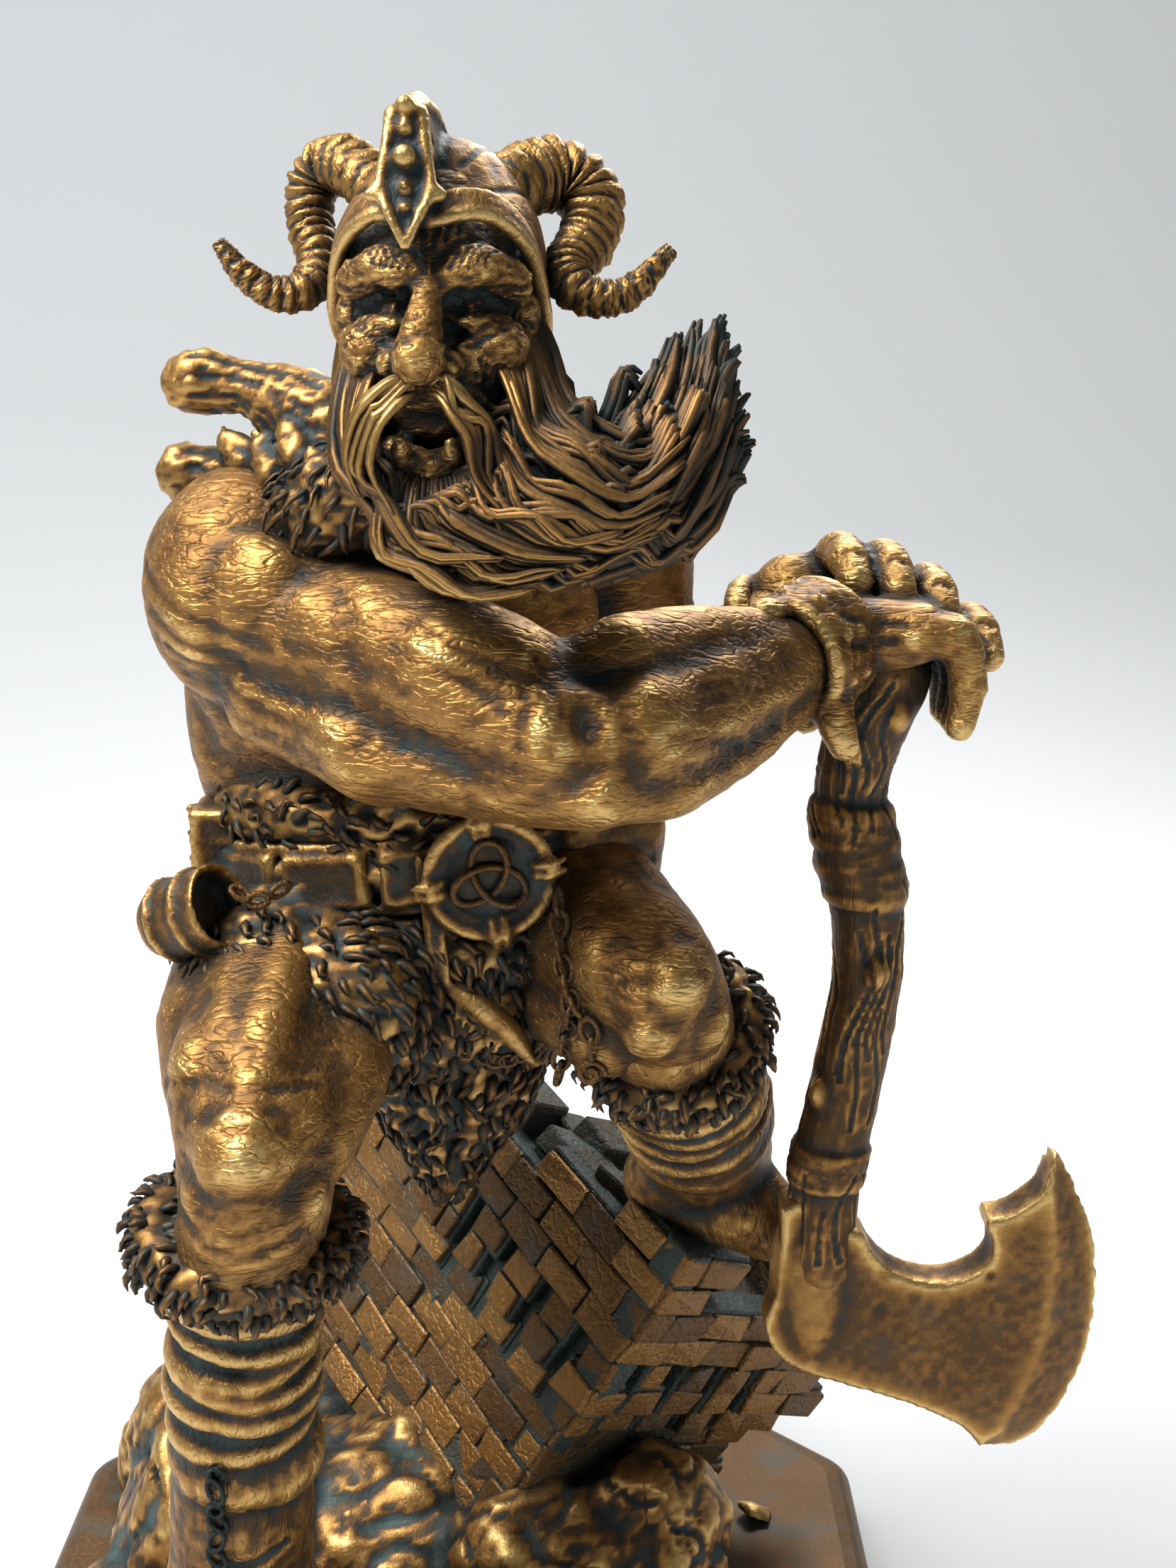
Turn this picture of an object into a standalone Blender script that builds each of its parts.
"""Frost giant figurine in cold-cast bronze: a bearded giant in a horned helmet, leaning on a broad axe,
one boot on a rock and one on a toppled castle corner, all on a low moulded plinth.

Three castings, glued together: the giant, his axe, and the plinth with its rocks and ruin.
Sizes are in millimetres in the code and the finished meshes are in metres, +Z up, front towards -Y.
"""

import math
import random

import bmesh
import bpy
from mathutils import Matrix, Vector, noise

MM = 0.001

# The plinth
PLINTH_WIDTH = 162.0
PLINTH_DEPTH = 152.0
PLINTH_HEIGHT = 14.0
PLINTH_CHAMFER = 22.0
PLINTH_GROOVE = 1.6

# The giant. His pose is laid out on a grid of parts of his own height, from the plinth's top to his crest.
FIGURE_HEIGHT = 266.0
GRID_HEIGHT = 266.0
GRID_GROUND = 14.0
RIGHT_SOLE = 22.0
LEFT_SOLE = 89.0

# The axe
HAFT_RADIUS = 6.1
AXE_THICKNESS = 8.0
AXE_EDGE_THICKNESS = 1.4
AXE_BEVEL_WIDTH = 7.5
AXE_PLANE = -16.0

# The ruin
BRICK_LENGTH = 12.0
COURSE_HEIGHT = 6.0
MORTAR_GAP = 1.3
BRICK_RELIEF = 0.9
LEFT_WALL_BRICKS = 7
RIGHT_WALL_BRICKS = 4
SUNKEN_COURSES = 4
OPEN_COURSES = 3
PARAPET_COURSES = 7
FLARED_COURSES = 2
PARAPET_OVERHANG = 5.0
PARAPET_SLOT_WIDTH = 4.8
PARAPET_SETTLE = 0.7
RUIN_BACK = 66.0
RUIN_TURN = 49.0
RUIN_LEAN = 32.0

# Fits between the castings
GLUE_GAP = 0.35
BOOT_GAP = 0.9

# How finely the modelled wax is sampled, and how many faces each casting keeps
GIANT_VOXEL = 1.25
ROCK_VOXEL = 2.4
GIANT_FACES = 4300
ROCK_FACES = 700
WELD_REACH = 0.15

BRONZE = (0.33, 0.19, 0.07)
BLADE_BRONZE = (0.36, 0.21, 0.06)
STONE_BRONZE = (0.25, 0.18, 0.11)

SPHERES = {}


def at(x, y, z):
    """A point of the pose grid, as a place over the plinth."""
    part = FIGURE_HEIGHT / GRID_HEIGHT
    return Vector((x, y, z - GRID_GROUND)) * part + Vector((0, 0, PLINTH_HEIGHT))


def girth(radius):
    """A radius of the pose grid, as a length."""
    return radius * FIGURE_HEIGHT / GRID_HEIGHT


def finish(bm, name, colour, roughness=0.42, metallic=0.75):
    """Turns a bmesh in millimetres into a named object in metres with its own material."""
    bmesh.ops.scale(bm, vec=(MM, MM, MM), verts=bm.verts)
    mesh = bpy.data.meshes.new(name)
    bm.to_mesh(mesh)
    bm.free()
    material = bpy.data.materials.new(name)
    material.use_nodes = True
    shader = material.node_tree.nodes["Principled BSDF"]
    shader.inputs["Base Color"].default_value = (*colour, 1)
    shader.inputs["Roughness"].default_value = roughness
    shader.inputs["Metallic"].default_value = metallic
    mesh.materials.append(material)
    made = bpy.data.objects.new(name, mesh)
    bpy.context.scene.collection.objects.link(made)
    return made


def helper(bm, name):
    """A cutter or a shape to be joined: it is left out of the render."""
    made = finish(bm, name, STONE_BRONZE)
    made.hide_render = True
    made.display_type = "WIRE"
    return made


def sphere_points(facets):
    """Evenly spread directions: the corners of an icosphere."""
    if facets not in SPHERES:
        ball = bmesh.new()
        bmesh.ops.create_icosphere(ball, subdivisions=facets, radius=1)
        SPHERES[facets] = [vert.co.copy() for vert in ball.verts]
        ball.free()
    return SPHERES[facets]


def blob(bm, *balls, facets=3, floor=None):
    """One convex lump of clay round several balls, each (point, radius). A floor flattens what is below it."""
    made = []
    for centre, radius in balls:
        for direction in sphere_points(facets):
            place = Vector(centre) + direction * radius
            if floor is not None:
                place.z = max(place.z, floor)
            made.append(bm.verts.new(place))
    hull = bmesh.ops.convex_hull(bm, input=made, use_existing_faces=False)
    spare = {g for g in hull["geom_interior"] + hull["geom_unused"] if isinstance(g, bmesh.types.BMVert)}
    bmesh.ops.delete(bm, geom=list(spare), context="VERTS")


def clay(bm, *balls, facets=3):
    """blob() in pose grid parts: each ball is (x, y, z, radius)."""
    blob(bm, *[(at(x, y, z), girth(r)) for x, y, z, r in balls], facets=facets)


def limb(bm, *balls, facets=3):
    """A chain of clay from ball to ball, each (x, y, z, radius)."""
    for near, far in zip(balls, balls[1:]):
        clay(bm, near, far, facets=facets)


def lump(bm, centre, radii, turn=0.0, nod=0.0):
    """An egg of clay on the pose grid, nodded about X and then turned about Z, in degrees."""
    matrix = (
        Matrix.Translation(at(*centre))
        @ Matrix.Rotation(math.radians(turn), 4, "Z")
        @ Matrix.Rotation(math.radians(nod), 4, "X")
        @ Matrix.Diagonal([girth(r) for r in radii]).to_4x4()
    )
    bmesh.ops.create_icosphere(bm, subdivisions=4, radius=1, matrix=matrix)


def curve_point(knots, share):
    """A point of the smooth curve through the knots, each a tuple of any length, at a share of its run."""
    run = share * (len(knots) - 1)
    index = min(int(run), len(knots) - 2)
    t = run - index
    window = [knots[max(0, min(len(knots) - 1, index + k))] for k in (-1, 0, 1, 2)]
    return [
        0.5 * (2 * b + (c - a) * t + (2 * a - 5 * b + 4 * c - d) * t * t + (3 * b - a - 3 * c + d) * t ** 3)
        for a, b, c, d in zip(*window)
    ]


def strand(bm, knots, steps=8, facets=2):
    """A chain of clay along the smooth curve through its knots, each (x, y, z, radius)."""
    limb(bm, *[curve_point(knots, i / steps) for i in range(steps + 1)], facets=facets)


def ring(bm, centre, axis, radii, thickness, segments=28):
    """A closed roll of clay round an axis: radii are its two half widths."""
    middle, along = at(*centre), Vector(axis).normalized()
    side = along.cross(Vector((0, 1, 0))).normalized()
    front = side.cross(along)
    places = []
    for i in range(segments):
        angle = math.tau * i / segments
        places.append(
            middle + side * girth(radii[0]) * math.cos(angle) + front * girth(radii[1]) * math.sin(angle)
        )
    for i, place in enumerate(places):
        blob(bm, (place, girth(thickness)), (places[i - 1], girth(thickness)), facets=2)


# The giant's places on the pose grid: x to his left, y to his back, z up
HEAD_MIDDLE = 5.0
RIGHT_KNEE = (-22, -57, 136)
RIGHT_ANKLE = (-32, -36, 46)
LEFT_KNEE = (35.5, -38, 152.5)
LEFT_ANKLE = (46, 2, 108)
RIGHT_ELBOW = (27, -59, 191)
RIGHT_WRIST = (58, -23, 201)
LEFT_ELBOW = (37, 7, 187)
LEFT_WRIST = (54, -3, 201)
HAFT_PATH = [
    (71.5, AXE_PLANE, 196),
    (67.5, AXE_PLANE, 184),
    (66.6, AXE_PLANE, 173),
    (69.4, AXE_PLANE, 160),
    (70.0, AXE_PLANE, 146),
    (67.3, AXE_PLANE, 128),
    (64.5, AXE_PLANE, 112),
    (63.5, AXE_PLANE, 96),
]
# The axe head's outline, seen from the front, as (x, z)
AXE_EDGE = [(102.5, 116), (107.3, 107), (110.2, 96), (110.4, 84), (107.8, 73), (103.2, 65.4), (97, 61.2), (91.5, 61.4)]
AXE_UNDERSIDE = [(88.6, 66.6), (82, 70), (75, 72.6), (67, 75), (60, 77.5), (55.6, 81.5), (54.4, 86)]
AXE_SOCKET = [(56.6, 92), (57.2, 101), (57.0, 107), (60, 108.6), (63.5, 107.6), (66, 103.8), (70.4, 102.6)]
AXE_THROAT = [(71.8, 99.5), (75, 96), (79.5, 94), (84.5, 93.6), (88.8, 95), (91.6, 97.6), (92, 101), (90.6, 104.6), (95, 106), (99.6, 109.5)]

# The horns, from the dome to their tips, as (x, y, z, radius)
LEFT_HORN = [
    (12, -38, 266, 4.1),
    (17, -31, 270, 4.0),
    (22.5, -28, 270.8, 3.8),
    (27.2, -28.5, 267, 3.6),
    (27, -32, 261.5, 3.4),
    (23.8, -36, 257.5, 3.2),
    (23.2, -39, 254.4, 3.0),
    (26.5, -40.5, 252.6, 2.8),
    (31, -40.5, 253.6, 2.3),
    (36, -40, 258.8, 1.2),
]
RIGHT_HORN = [
    (-3, -38, 266, 4.1),
    (-7, -33, 269.5, 3.9),
    (-11.4, -28, 270.6, 3.7),
    (-14, -27.5, 267, 3.5),
    (-13.8, -30, 262, 3.3),
    (-12.4, -34, 257.5, 3.1),
    (-13.6, -38, 253.9, 2.9),
    (-17.5, -40, 253.2, 2.5),
    (-21.5, -40.5, 255.6, 2.0),
    (-25, -40, 259.6, 1.2),
]

BEARD_LOW = [(-6, -57, 241), (-4, -61, 231), (6, -65, 221), (20, -65, 218), (33, -60, 222), (41, -53, 232), (44, -47, 245)]
BEARD_HIGH = [(16, -50, 248), (19, -55, 241), (25, -57, 236), (29, -55, 234), (34, -52, 237), (37, -49, 242), (40, -46, 249)]


def torso(bm):
    """Hips, belly, rib cage, back and neck, bent forward over the axe."""
    clay(bm, (-15, 3, 156, 15), (13, 3, 157, 14), (-2, 10, 160, 16))
    lump(bm, (-4, -7, 172), (30, 20, 21))
    lump(bm, (-3, -8, 196), (36, 21, 30), nod=12)
    lump(bm, (0, 4, 207), (36, 18, 24), nod=15)
    lump(bm, (-1, 11, 186), (24, 13, 24))
    for side in (-1, 1):
        lump(bm, (-2 + 24.5 * side, 0, 189), (14, 17, 28), turn=8 * side)
        clay(bm, (-1 + 22 * side, -8, 221, 9), (3, -22, 231, 11), (0, -4, 226, 12))
        lump(bm, (-1 + 13 * side, -25, 207), (15, 9, 12), turn=14 * side)
    limb(bm, (0, -14, 220, 14), (5, -37, 246, 12))


def right_arm(bm):
    """The arm across the belly: it ends in the hand that rests on the haft."""
    lump(bm, (-26, -20, 210), (16.3, 17, 19), nod=-8)
    limb(bm, (-22, -24, 207, 13.5), (4, -44, 200, 12), (21, -56, 194, 9.8))
    limb(bm, (-8, -38, 206, 9), (8, -47, 203, 9.2), (18, -52, 200, 7))
    limb(bm, (-12, -32, 197, 10), (12, -49, 190, 8.2), (26, -60, 188, 6))
    limb(bm, (21, -56, 194, 9.5), (30, -54, 193, 10), (41, -43, 196, 10), (52, -30, 199.5, 8), (*RIGHT_WRIST, 7.3))
    limb(bm, (22, -52, 200, 7), (34, -46, 203, 7.5), (50, -31, 203.5, 5))
    limb(bm, (27, -61, 188, 5), (43, -45, 189, 5), (56, -27, 195, 4.2))
    along = Vector(RIGHT_WRIST) - Vector(RIGHT_ELBOW)
    for shift, radius in ((-2.5, 8.2), (0, 8.8), (2.5, 8.2)):
        ring(bm, Vector(RIGHT_WRIST) + along.normalized() * shift, along, (radius, radius), 1.9, 20)
    clay(bm, (63, -20, 202, 6.4), (75, -23, 203, 5), (76, -13, 202, 5), (66, -11, 202, 5.6))
    for finger in range(4):
        y = -25 + 4.4 * finger
        reach = 82.5 - 0.7 * abs(finger - 1)
        strand(
            bm,
            [(75, y, 203, 3.6), (80.5, y, 202, 3.5), (reach, y, 196.5, 3.2), (81, y - 1, 189.5, 2.7)],
            steps=6,
        )
    limb(bm, (64, -24, 199, 4.5), (62, -27, 193, 3.6), (63, -28, 188, 3.0))


def left_arm(bm):
    """The far arm: its hand lies over the right one, fingers forward."""
    lump(bm, (29, -4, 210), (13, 14, 17))
    limb(bm, (29, -2, 208, 12), (33, 4, 197, 10.5), (*LEFT_ELBOW, 9), (45, 2, 193, 8.5), (*LEFT_WRIST, 7))
    along = Vector(LEFT_WRIST) - Vector(LEFT_ELBOW)
    ring(bm, LEFT_WRIST, along, (7.8, 7.8), 2.2, 18)
    clay(bm, (58, -1, 206, 7), (64, 1, 207, 6), (80, 0, 199, 4.6), (70, 3, 197, 5.6))
    for finger in range(4):
        x = 64.5 + 7 * finger
        drop = 1.25 * finger * finger - 1
        strand(
            bm,
            [
                (x, 2, 209 - drop, 4.0),
                (x + 0.5, -4, 212 - drop, 3.9),
                (x + 1.0, -10, 212 - drop, 3.7),
                (x + 1.5, -15.5, 209 - drop, 3.2),
            ],
            steps=6,
        )
    limb(bm, (62, -3, 199, 5), (59, -5, 192, 4.0), (60, -7, 187, 3.2))


def right_leg(bm):
    """The near leg: bare thigh and knee, a fur cuff, wrapped calf and laced boot."""
    limb(bm, (-16, 3, 153, 17), (-23, -28, 146, 16), (-23, -48, 140, 14), (*RIGHT_KNEE, 12))
    limb(bm, (-30, -16, 149, 11), (-33, -34, 145, 8), (-29, -52, 140, 6))
    limb(bm, (-12, -30, 146, 9), (-13, -48, 140, 8), (-15, -57, 135, 5))
    limb(bm, (-20, -32, 158, 6), (-21, -52, 150, 5), (-22, -62, 141, 4))
    lump(bm, (-22, -62, 136), (8.5, 6.5, 8.5))
    clay(bm, (-22, -60, 129, 9), (-24, -56, 121, 11.5))
    limb(bm, (*RIGHT_KNEE, 12), (-27, -49, 103, 10), (-29, -43, 78, 11.2), (*RIGHT_ANKLE, 11.8))
    shin = Vector(RIGHT_KNEE) - Vector(RIGHT_ANKLE)
    cuff = Vector(RIGHT_KNEE) - shin * 0.19
    ring(bm, cuff + Vector((-1.5, 1, 0)), shin, (12.8, 12.8), 4.4)
    for share, radius, roll in ((0.29, 10.4, 2.5), (0.35, 10.2, 2.1), (0.41, 10.2, 2.3), (0.48, 10.0, 2.7), (0.56, 9.6, 2.2)):
        ring(bm, Vector(RIGHT_KNEE) - shin * share + Vector((-1, 0, 0)), shin, (radius, radius), roll)
    boot_foot(bm, right_foot_balls(0), RIGHT_SOLE)


def right_foot_balls(gap):
    """The balls of the near boot's foot, on the pose grid, grown by a gap."""
    balls = [(-32.5, -34, 42, 12), (-32, -26, 32, 10), (-34, -46, 35, 12), (-35.5, -57, 31, 11), (-36.5, -66, 28, 8)]
    return [(at(x, y, z), girth(r) + gap) for x, y, z, r in balls]


def left_foot_balls(gap):
    """The balls of the far boot's foot, which points out along the parapet."""
    balls = [(*LEFT_ANKLE, 11), (40, 9, 99, 9), (51, 1, 99, 9), (57, -1, 95.5, 7), (61, -1.5, 94.5, 5.6)]
    return [(at(x, y, z), girth(r) + gap) for x, y, z, r in balls]


def boot_foot(bm, balls, sole):
    """A boot's foot: its sole is flat at a height on the pose grid."""
    floor = at(0, 0, sole).z
    for near, far in zip(balls, balls[1:]):
        blob(bm, near, far, floor=floor)


def left_leg(bm):
    """The far leg, stepped up on the ruin."""
    limb(bm, (13, 5, 154, 17), (25, -20, 157, 14), (32, -33, 154, 12), (*LEFT_KNEE, 10.5))
    limb(bm, (20, -16, 163, 7.5), (29, -32, 161, 6.5), (35, -42, 156, 4.5))
    limb(bm, (18, -20, 147, 8.5), (28, -34, 144, 7.5))
    lump(bm, (37.5, -42, 153.5), (7, 7, 8), turn=25)
    limb(bm, (*LEFT_KNEE, 10.5), (39, -26, 137, 11), (44, -10, 120, 12), (*LEFT_ANKLE, 11.5))
    shin = Vector(LEFT_KNEE) - Vector(LEFT_ANKLE)
    ring(bm, Vector(LEFT_KNEE) - shin * 0.26, shin, (11.5, 12), 3.8)
    for share, radius in ((0.42, 11.8), (0.54, 11.8), (0.68, 11.4)):
        ring(bm, Vector(LEFT_KNEE) - shin * share, shin, (radius, radius), 2.0, 22)
    boot_foot(bm, left_foot_balls(0), LEFT_SOLE)


def head(bm):
    """Skull, heavy brow, broad nose, open mouth with two stub tusks, and hair down the neck."""
    x = HEAD_MIDDLE
    lump(bm, (x, -42, 252), (12.5, 15.5, 18.5))
    lump(bm, (x, -49, 241), (10.5, 9.5, 9))
    limb(bm, (x - 9.5, -53, 256, 3.0), (x - 4, -57.5, 256, 3.2), (x + 4, -57.5, 256, 3.2), (x + 9.5, -53, 256, 3.0))
    limb(bm, (x - 0.5, -58, 255, 2.4), (x - 1.2, -61.5, 249, 2.7), (x - 1.5, -64, 245.5, 3.6))
    for side in (-1, 1):
        clay(bm, (x - 1.5 + 3.2 * side, -61.5, 245, 2.4), (x - 1.5, -62, 246, 3), facets=2)
        lump(bm, (x + 8.2 * side, -54, 247.5), (4.2, 4, 4))
        lump(bm, (x + 5 * side, -55, 251.5), (2.4, 2.2, 1.9))
        limb(bm, (x + 3.8 * side, -60, 231.5, 2.0), (x + 4.1 * side, -61.8, 235, 1.6), facets=2)
        strand(
            bm,
            [
                (x - 1 + 1.5 * side, -61.5, 240.5, 2.6),
                (x - 1 + 6 * side, -60.5, 239, 3.1),
                (x - 1 + 9.5 * side, -58, 234, 3.0),
                (x - 1 + 10.5 * side, -57, 227, 1.8),
            ],
        )
    for lock in range(5):
        across = x - 11 + 5.5 * lock
        strand(bm, [(across, -33, 250, 5.5), (across, -25, 238, 6), (across * 0.9, -20, 226, 4)], steps=5)


def helmet(bm):
    """The helmet: a dome with a rolled brow rim and cheek flaps, a nose guard, a tall comb and two ram's horns."""
    x = HEAD_MIDDLE
    clay(bm, (x - 2, -41, 257, 13), (x + 2, -41, 257, 13), (x, -37, 261, 12.8), (x, -31, 255, 13))
    rim = [(13.6, -36, 247), (13.9, -44, 251), (12, -52, 259), (7, -57, 264), (0, -59, 262.5)]
    for side in (-1, 1):
        strand(bm, [(x + a * side, b, c, 1.7) for a, b, c in rim], steps=10)
    strand(bm, RIGHT_HORN, steps=26)
    strand(bm, LEFT_HORN, steps=26)
    strand(bm, [(x, -60.5, 258, 1.4), (x, -59, 263, 2.8), (x, -55.5, 269, 3.4), (x, -49, 275, 3.4), (x, -38, 275.5, 3.2), (x, -26, 270, 2.8)], steps=12)
    strand(bm, [(x, -54.5, 270, 2.6), (x, -47, 277.2, 2.2), (x, -36, 276.5, 2.0), (x, -24, 268, 1.8)], steps=8)


def beard(bm):
    """The windblown beard: it sweeps across the chest and curls up past the left shoulder."""
    lanes = 7
    for lane in range(lanes):
        mix = lane / (lanes - 1)
        knots = []
        for low, high in zip(BEARD_LOW, BEARD_HIGH):
            bulge = 5 * math.sin(math.pi * mix)
            place = [low[k] + (high[k] - low[k]) * mix for k in range(3)]
            knots.append((place[0], place[1] - bulge + 5, place[2]))
        radii = (4.6, 5.4, 5.6, 5.4, 4.6, 3.6, 1.8)
        strand(bm, [(*knot, radius) for knot, radius in zip(knots, radii)], steps=14)
    for height, reach, out in ((236, 48.5, 2.4), (227, 48, 2.2), (246, 47.5, 2.2)):
        strand(bm, [(36, -50, height - 6, 4), (42, -50, height, 3.2), (reach, -48, height + 2, out), (reach + 0.5, -46, height - 3, 1.4)], steps=7)
    lump(bm, (8, -51, 228), (15, 10, 12))
    lump(bm, (23, -49, 226), (13, 8, 9))


def mantle(bm):
    """The fur mantle over the back and shoulders, with its rounded bony knobs."""
    clay(bm, (-24, -12, 219, 9), (-6, -10, 228, 12), (10, -8, 228, 12), (28, -8, 219, 9), (0, 8, 214, 14))
    clay(bm, (-24, -12, 219, 9), (-14, -32, 222, 8), (-4, -34, 228, 8))
    clay(bm, (-16, 12, 196, 9), (14, 12, 196, 9), (-22, 4, 216, 10), (22, 4, 216, 10))
    strand(bm, [(-10, -22, 233, 8), (-20, -18, 237.5, 6.5), (-28, -15, 239.8, 4.4), (-33, -14, 240.2, 4.8)])
    strand(bm, [(-20, -16, 224, 9), (-29, -15, 225.5, 6), (-35.5, -13, 226.5, 5.0)])
    for x, y, z, lift in ((-17, -28, 231, 6), (-12, -2, 236, 8), (6, 4, 236, 9), (22, 0, 231, 8), (-24, -4, 228, 6), (0, 16, 222, 7), (14, 16, 212, 6), (-14, 18, 210, 6)):
        limb(bm, (x, y, z, 4.2), (x * 1.12, y + 0.35 * lift, z + lift, 1.6), facets=2)


def clothing(bm):
    """Belly fur, belt, round brooch, hip pouch, drinking mug, fur skirt and the flaps before and behind."""
    ring(bm, (-3, -4, 175), (-0.06, 0.05, 1), (29, 20), 5.2, 36)
    ring(bm, (-3, -3, 165), (-0.10, 0.08, 1), (30, 23), 4.4, 40)
    ring(bm, (-2, 0, 156), (-0.04, 0.0, 1), (26, 19), 6.5, 36)
    front = Vector((0.12, -1, -0.12)).normalized()
    disc(bm, at(10, -31.5, 168.5), front, girth(10), girth(4))
    clay(bm, (24, -18, 170, 6), (33, -12, 169, 6), (32, -8, 162, 6), (25, -16, 162, 6))
    clay(bm, (-34, -8, 173, 3.2), (-34, -8, 164, 3.2), (-33, -16, 173, 3.2), (-33, -16, 164, 3.2), facets=2)
    limb(bm, (-32, -31, 164, 6), (-40, -27, 158.5, 5))
    clay(bm, (-14, -16, 152, 8), (12, -15, 153, 8), (-1, -12, 138, 9))
    clay(bm, (-8, -12, 140, 8), (14, -12, 142, 8), (-4, -11, 122, 6), (10, -11, 124, 6), (1, -10, 108, 4))
    clay(bm, (-16, 20, 152, 8), (12, 20, 152, 8), (-8, 24, 118, 5), (4, 24, 118, 5))
    clay(bm, (-30, -16, 153, 6), (-22, -22, 158, 7), (-14, -29, 151, 6), (-8, -14, 146, 8))


def disc(bm, centre, facing, radius, thickness):
    """A round plate."""
    turn = facing.to_track_quat("Z", "Y").to_matrix().to_4x4()
    bmesh.ops.create_cone(
        bm,
        cap_ends=True,
        segments=32,
        radius1=radius,
        radius2=radius * 0.9,
        depth=thickness,
        matrix=Matrix.Translation(centre) @ turn,
    )


def modifier(target, kind, name, **settings):
    """Adds a modifier with its settings."""
    made = target.modifiers.new(name, kind)
    for key, value in settings.items():
        setattr(made, key, value)
    return made


def evaluated_faces(target):
    """How many triangles an object has with its modifiers."""
    graph = bpy.context.evaluated_depsgraph_get()
    graph.update()
    shape = target.evaluated_get(graph)
    mesh = shape.to_mesh()
    mesh.calc_loop_triangles()
    count = len(mesh.loop_triangles)
    shape.to_mesh_clear()
    return count


def cast(target, voxel, faces, smoothing):
    """Makes one closed skin of joined lumps, smooths it and thins its faces."""
    modifier(target, "REMESH", "skin", mode="VOXEL", voxel_size=voxel * MM, adaptivity=0)
    modifier(target, "SMOOTH", "soften", factor=0.5, iterations=smoothing)
    share = min(1.0, faces / evaluated_faces(target))
    modifier(target, "DECIMATE", "thin", ratio=share)


def cut(target, cutter, operation="DIFFERENCE"):
    """Cuts or joins a helper."""
    modifier(target, "BOOLEAN", cutter.name, operation=operation, object=cutter, solver="EXACT")


def haft_balls(grow=0.0):
    """The haft's balls from the hands to the axe head, grown by a gap."""
    steps = 16
    balls = []
    for i in range(steps + 1):
        share = i / steps
        x, y, z = curve_point(HAFT_PATH, share)
        swell = 1 + 0.14 * math.exp(-((share / 0.1) ** 2)) - 0.05 * math.sin(math.pi * share)
        balls.append((at(x, y, z), HAFT_RADIUS * swell + grow))
    return balls


def axe_head(bm):
    """The blade: a bearded head with an upward horn and a small hook below, thinned to its cutting edge."""
    steps = 16
    outer = [Vector(curve_point(AXE_EDGE, i / steps)) for i in range(steps + 1)]
    inner = []
    for i, place in enumerate(outer):
        run = outer[min(i + 1, steps)] - outer[max(i - 1, 0)]
        inward = Vector((run.y, -run.x)).normalized()
        inner.append(place + inward * (1.5 + AXE_BEVEL_WIDTH * math.sin(math.pi * i / steps) ** 0.6))
    back_of_head = [Vector(p) for p in AXE_UNDERSIDE + AXE_SOCKET]
    throat = [Vector(curve_point(AXE_THROAT, i / 11)) for i in range(12)]
    outline = inner + back_of_head + throat
    half, thin = AXE_THICKNESS / 2, AXE_EDGE_THICKNESS / 2
    front = [bm.verts.new((p.x, -half, p.y)) for p in outline]
    back = [bm.verts.new((p.x, half, p.y)) for p in outline]
    edge_front = [bm.verts.new((p.x, -thin, p.y)) for p in outer]
    edge_back = [bm.verts.new((p.x, thin, p.y)) for p in outer]
    bm.faces.new(front)
    bm.faces.new(back)
    for i in range(len(outline)):
        j = (i + 1) % len(outline)
        if i < steps:
            bm.faces.new((front[i], front[j], edge_front[j], edge_front[i]))
            bm.faces.new((back[i], back[j], edge_back[j], edge_back[i]))
            bm.faces.new((edge_front[i], edge_front[j], edge_back[j], edge_back[i]))
        else:
            bm.faces.new((front[i], front[j], back[j], back[i]))
    for i in (0, steps):
        bm.faces.new((front[i], edge_front[i], edge_back[i], back[i]))
    part = FIGURE_HEIGHT / GRID_HEIGHT
    bmesh.ops.scale(bm, vec=(part, 1, part), verts=bm.verts)
    bmesh.ops.translate(bm, vec=at(0, AXE_PLANE, 0), verts=bm.verts)
    bmesh.ops.recalc_face_normals(bm, faces=bm.faces)


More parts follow.
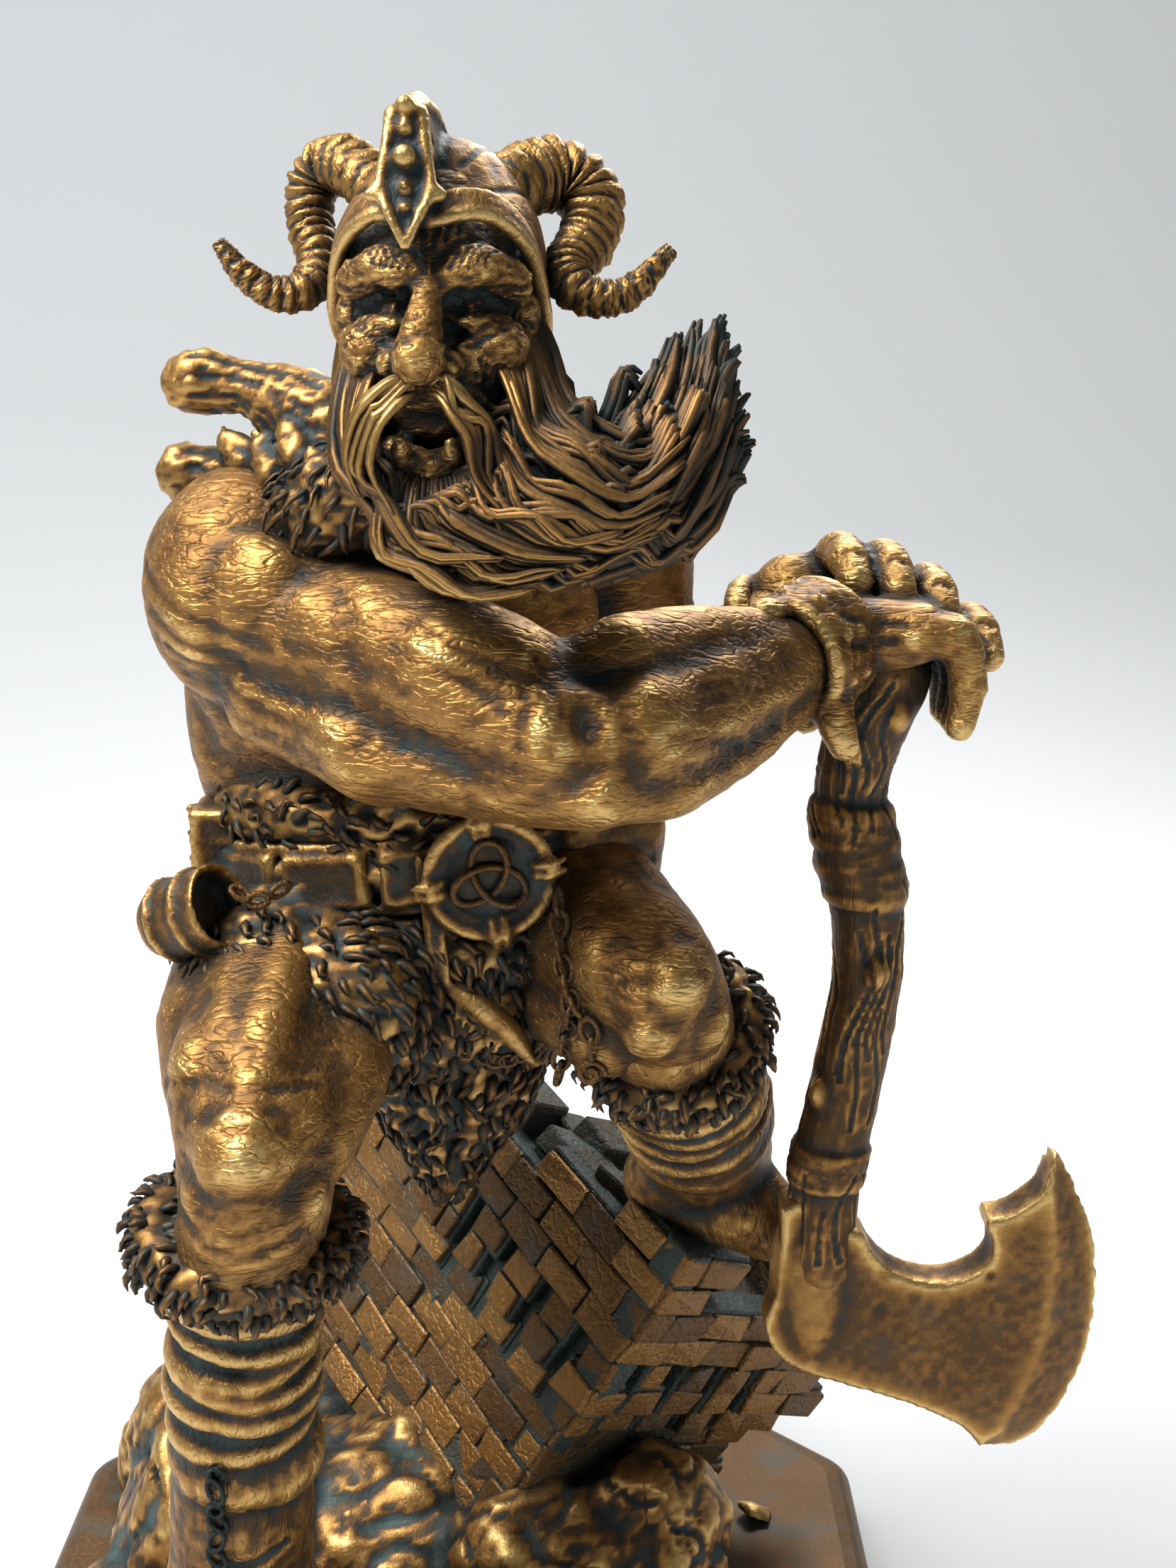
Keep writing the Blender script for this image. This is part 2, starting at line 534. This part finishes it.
def brick_block(left_bricks, right_bricks, courses, plain=0):
    """A square block of running bond masonry: x along its right wall, y along its left wall, z up.

    Only the two walls that meet at the corner are laid in relief, and those from the plain courses up.
    """
    bm = bmesh.new()
    half = BRICK_LENGTH / 2
    width, depth = right_bricks * BRICK_LENGTH, left_bricks * BRICK_LENGTH
    corners = [Vector((0, 0)), Vector((width, 0)), Vector((width, depth)), Vector((0, depth))]
    outline = []
    for corner, following in zip(corners, corners[1:] + corners[:1]):
        pieces = round((following - corner).length / half)
        outline += [corner.lerp(following, i / pieces) for i in range(pieces)]
    loop = [bm.verts.new((p.x, p.y, 0)) for p in outline]
    bm.faces.new(list(reversed(loop)))
    edges = [bm.edges.get((loop[i - 1], loop[i])) for i in range(len(loop))]
    uprights = []
    for course in range(courses):
        grown = bmesh.ops.extrude_edge_only(bm, edges=edges)["geom"]
        fresh = [g for g in grown if isinstance(g, bmesh.types.BMVert)]
        bmesh.ops.translate(bm, vec=(0, 0, COURSE_HEIGHT), verts=fresh)
        edges = [g for g in grown if isinstance(g, bmesh.types.BMEdge) and all(v in fresh for v in g.verts)]
        for vert in fresh:
            place = Vector(vert.co[:2])
            number = min(range(len(outline)), key=lambda i: (outline[i] - place).length)
            on_corner = any((corner - place).length < 0.01 for corner in corners)
            if (number + course) % 2 and not on_corner:
                uprights += [e for e in vert.link_edges if abs(e.verts[0].co.z - e.verts[1].co.z) > 0.1]
    bmesh.ops.contextual_create(bm, geom=edges)
    bmesh.ops.dissolve_edges(bm, edges=uprights, use_verts=False)
    bmesh.ops.recalc_face_normals(bm, faces=bm.faces)
    above = plain * COURSE_HEIGHT
    bricks = [f for f in bm.faces if min(f.normal[:2]) < -0.5 and f.calc_center_median().z > above]
    bmesh.ops.inset_individual(bm, faces=bricks, thickness=MORTAR_GAP / 2, depth=0)
    for face in bricks:
        bmesh.ops.translate(bm, vec=face.normal * BRICK_RELIEF, verts=face.verts)
    return bm


def ruin_frame():
    """Where the toppled corner stands: its corner edge runs up its own z, its right wall along x, its left along y."""
    turn, lean = math.radians(RUIN_TURN), math.radians(RUIN_LEAN)
    right = Vector((math.sin(turn), math.cos(turn), 0))
    left = Vector((-math.cos(turn), math.sin(turn), 0))
    upright = Matrix((right, left, Vector((0, 0, 1)))).transposed()
    foot = at(*LEFT_ANKLE)
    corner = foot + Vector((-35, -3, -67))
    return Matrix.Translation(corner) @ Matrix.Rotation(lean, 4, "Y") @ upright.to_4x4()


def ruin_shaft():
    """The wall below the parapet. Its foot is sunk in the rocks."""
    courses = SUNKEN_COURSES + OPEN_COURSES + 4
    bm = brick_block(LEFT_WALL_BRICKS, RIGHT_WALL_BRICKS, courses, plain=SUNKEN_COURSES - 3)
    bmesh.ops.translate(bm, vec=(0, 0, -SUNKEN_COURSES * COURSE_HEIGHT), verts=bm.verts)
    bmesh.ops.transform(bm, matrix=ruin_frame(), verts=bm.verts)
    trim_behind(bm, RUIN_BACK)
    return bm


def ruin_parapet():
    """The overhanging parapet: its lowest courses flare out from both walls."""
    bm = brick_block(LEFT_WALL_BRICKS, RIGHT_WALL_BRICKS + 1, PARAPET_COURSES)
    flare = FLARED_COURSES * COURSE_HEIGHT
    for vert in bm.verts:
        held = PARAPET_OVERHANG * max(0.0, 1 - vert.co.z / flare) * 0.66
        vert.co.x += held if vert.co.x < MORTAR_GAP else 0
        vert.co.y += held if vert.co.y < MORTAR_GAP else 0
    lift = OPEN_COURSES * COURSE_HEIGHT + PARAPET_SETTLE
    bmesh.ops.translate(bm, vec=(-PARAPET_OVERHANG, -PARAPET_OVERHANG, lift), verts=bm.verts)
    bmesh.ops.transform(bm, matrix=ruin_frame(), verts=bm.verts)
    trim_behind(bm, RUIN_BACK - PARAPET_SETTLE)
    return bm


def parapet_slots():
    """Cutters for the round-headed slots that divide the flared part of both walls."""
    bm = bmesh.new()
    base = OPEN_COURSES * COURSE_HEIGHT
    radius = PARAPET_SLOT_WIDTH / 2
    for slot in range(4):
        run = 5 + BRICK_LENGTH * 0.95 * slot
        for place in ((-PARAPET_OVERHANG, run), (run, -PARAPET_OVERHANG)):
            low = Vector((*place, base + 1))
            blob(bm, (low, radius), (low + Vector((0, 0, 19)), radius), facets=2)
    bmesh.ops.transform(bm, matrix=ruin_frame(), verts=bm.verts)
    return bm


def ruin_break():
    """The cutter that broke the walls off: a rough slope that falls away from the corner along both walls."""
    bm = bmesh.new()
    cells = 10
    bmesh.ops.create_grid(bm, x_segments=cells, y_segments=cells, size=1)
    length, width = LEFT_WALL_BRICKS * BRICK_LENGTH, (RIGHT_WALL_BRICKS + 1) * BRICK_LENGTH
    top = (OPEN_COURSES + PARAPET_COURSES) * COURSE_HEIGHT
    for vert in bm.verts:
        across, along = 0.5 + 0.62 * vert.co.x, 0.5 + 0.62 * vert.co.y
        step = COURSE_HEIGHT * round(1.2 * noise.noise(Vector((across * 7, along * 11, 3.1))))
        height = top + 2 - 26 * max(0.0, across - 0.15) - 36 * max(0.0, along - 0.2) + step
        vert.co = Vector((across * width - PARAPET_OVERHANG, along * length - PARAPET_OVERHANG, height))
    grown = bmesh.ops.extrude_face_region(bm, geom=list(bm.faces))["geom"]
    for vert in [g for g in grown if isinstance(g, bmesh.types.BMVert)]:
        vert.co.z = top + 70
    bmesh.ops.recalc_face_normals(bm, faces=bm.faces)
    bmesh.ops.transform(bm, matrix=ruin_frame(), verts=bm.verts)
    return bm


def trim_behind(bm, back):
    """Cuts a wall off upright where it would reach past the plinth's back."""
    geometry = list(bm.verts) + list(bm.edges) + list(bm.faces)
    bmesh.ops.bisect_plane(bm, geom=geometry, plane_co=(0, back, 0), plane_no=(0, 1, 0), clear_outer=True)
    bmesh.ops.holes_fill(bm, edges=[e for e in bm.edges if e.is_boundary])
    bmesh.ops.recalc_face_normals(bm, faces=bm.faces)


def plinth():
    """The chamfered plinth with a groove round its edge."""
    bm = bmesh.new()
    w, d, c = PLINTH_WIDTH / 2, PLINTH_DEPTH / 2, PLINTH_CHAMFER
    plan = [(w - c, -d), (w, -d + c), (w, d - c), (w - c, d), (-w + c, d), (-w, d - c), (-w, -d + c), (-w + c, -d)]
    layers = [
        (0.0, 0.0),
        (0.0, 0.28),
        (PLINTH_GROOVE, 0.34),
        (PLINTH_GROOVE, 0.42),
        (0.0, 0.48),
        (0.0, 0.72),
        (PLINTH_GROOVE, 0.92),
        (2.6 * PLINTH_GROOVE, 1.0),
    ]
    rings = []
    for inset, share in layers:
        kept = [Vector(p) * (1 - inset / min(w, d)) for p in plan]
        rings.append([bm.verts.new((p.x, p.y, share * PLINTH_HEIGHT)) for p in kept])
    edges = []
    for verts in rings:
        edges.append([bm.edges.new((verts[i - 1], verts[i])) for i in range(len(verts))])
    for low, high in zip(edges, edges[1:]):
        bmesh.ops.bridge_loops(bm, edges=low + high)
    bm.faces.new(rings[0])
    bm.faces.new(rings[-1])
    bmesh.ops.recalc_face_normals(bm, faces=bm.faces)
    return bm


def rocks():
    """The rocky ground: boulders under each boot, a crag at the left and rubble round the ruin."""
    bm = bmesh.new()
    ground = PLINTH_HEIGHT
    boulders = [
        ((-44, 8, 30), (21, 22, 26)),
        ((-50, 18, 42), (12, 15, 20)),
        ((-57, -12, 17), (18, 28, 14)),
        ((-30, -40, 12), (30, 32, 13)),
        ((-10, 20, 22), (34, 30, 22)),
        ((16, 2, 26), (20, 20, 18)),
        ((36, 8, 22), (18, 22, 24)),
        ((26, 36, 20), (24, 24, 20)),
        ((-14, 50, 20), (40, 21, 25)),
        ((6, -40, 12), (34, 24, 10)),
        ((42, -34, 11), (22, 24, 9)),
        ((-52, 48, 14), (22, 20, 18)),
        ((-8, -4, 8), (58, 58, 9)),
    ]
    for index, (centre, radii) in enumerate(boulders):
        made = bmesh.ops.create_icosphere(bm, subdivisions=4, radius=1)["verts"]
        for vert in made:
            rough = 1 + 0.16 * noise.noise(vert.co * 2.2 + Vector((index * 3.7, 0, 0)))
            rough += 0.06 * noise.noise(vert.co * 6.5 + Vector((0, index * 2.3, 0)))
            vert.co = Vector([centre[k] + vert.co[k] * radii[k] * rough for k in range(3)])
            vert.co.z = max(vert.co.z, ground * 0.45)
    return bm


def pocket(bm, balls, sole):
    """The space that a boot stands in: its own shape, open upwards."""
    floor = at(0, 0, sole).z - GLUE_GAP
    high = 34.0
    for near, far in zip(balls, balls[1:]):
        up = Vector((0, 0, high))
        blob(bm, near, far, (near[0] + up, near[1]), (far[0] + up, far[1]), floor=floor)


def build_giant():
    """The figure is one casting: every lump is joined in one skin."""
    bm = bmesh.new()
    for part in (torso, right_arm, left_arm, right_leg, left_leg, head, helmet, beard, mantle, clothing):
        part(bm)
    giant = finish(bm, "giant", BRONZE)
    cast(giant, GIANT_VOXEL, GIANT_FACES, 2)
    hole = bmesh.new()
    balls = haft_balls(GLUE_GAP + 0.35)
    for near, far in zip(balls[:6], balls[1:7]):
        blob(hole, near, far, facets=2)
    clearance = helper(hole, "haft_clearance")
    modifier(clearance, "REMESH", "skin", mode="VOXEL", voxel_size=0.9 * MM)
    modifier(clearance, "DECIMATE", "thin", ratio=0.12)
    cut(giant, clearance)
    return giant


def build_axe():
    """The axe is one casting: a gnarled haft through the socket of its head."""
    bm = bmesh.new()
    axe_head(bm)
    blade = finish(bm, "battle_axe", BLADE_BRONZE, roughness=0.34)
    stick = bmesh.new()
    balls = haft_balls()
    for near, far in zip(balls, balls[1:]):
        blob(stick, near, far, facets=2)
    for share in (0.28, 0.32, 0.36, 0.40):
        x, y, z = curve_point(HAFT_PATH, share)
        binding(stick, (x, y, z), HAFT_RADIUS + 0.55, 1.5)
    for share in (0.83, 0.845, 0.86):
        x, y, z = curve_point(HAFT_PATH, share)
        binding(stick, (x, y, z), HAFT_RADIUS + 0.2, 0.8)
    haft = helper(stick, "haft")
    modifier(haft, "REMESH", "skin", mode="VOXEL", voxel_size=0.8 * MM)
    modifier(haft, "SMOOTH", "soften", factor=0.5, iterations=2)
    modifier(haft, "DECIMATE", "thin", ratio=0.04)
    cut(blade, haft, "UNION")
    return blade


def binding(bm, centre, radius, thickness):
    """One turn of a binding round the haft."""
    ring(bm, centre, (0.06, 0, 1), (radius, radius), thickness, 16)


def build_base():
    """The plinth, rocks and ruin are one casting, with a pocket for each boot."""
    base = finish(plinth(), "ruin_plinth", STONE_BRONZE, roughness=0.5)
    ground = helper(rocks(), "rocks")
    cast(ground, ROCK_VOXEL, ROCK_FACES, 1)
    cut(base, ground, "UNION")
    broken = helper(ruin_break(), "break")
    slots = helper(parapet_slots(), "slots")
    wall = helper(ruin_shaft(), "wall")
    cut(wall, helper(ruin_parapet(), "parapet"), "UNION")
    cut(wall, broken)
    cut(wall, slots)
    modifier(wall, "WELD", "close", merge_threshold=WELD_REACH * MM)
    cut(base, wall, "UNION")
    pockets = bmesh.new()
    pocket(pockets, right_foot_balls(BOOT_GAP), RIGHT_SOLE)
    right_pocket = helper(pockets, "right_pocket")
    other = bmesh.new()
    pocket(other, left_foot_balls(BOOT_GAP), LEFT_SOLE)
    left_pocket = helper(other, "left_pocket")
    for space in (right_pocket, left_pocket):
        modifier(space, "REMESH", "skin", mode="VOXEL", voxel_size=1.2 * MM)
        modifier(space, "DECIMATE", "thin", ratio=0.025)
        cut(base, space)
    return base


def main():
    for old in list(bpy.data.objects):
        bpy.data.objects.remove(old)
    random.seed(7)
    for made in (build_giant(), build_axe(), build_base()):
        made.data.shade_smooth()
        made.data.set_sharp_from_angle(angle=math.radians(50))


main()
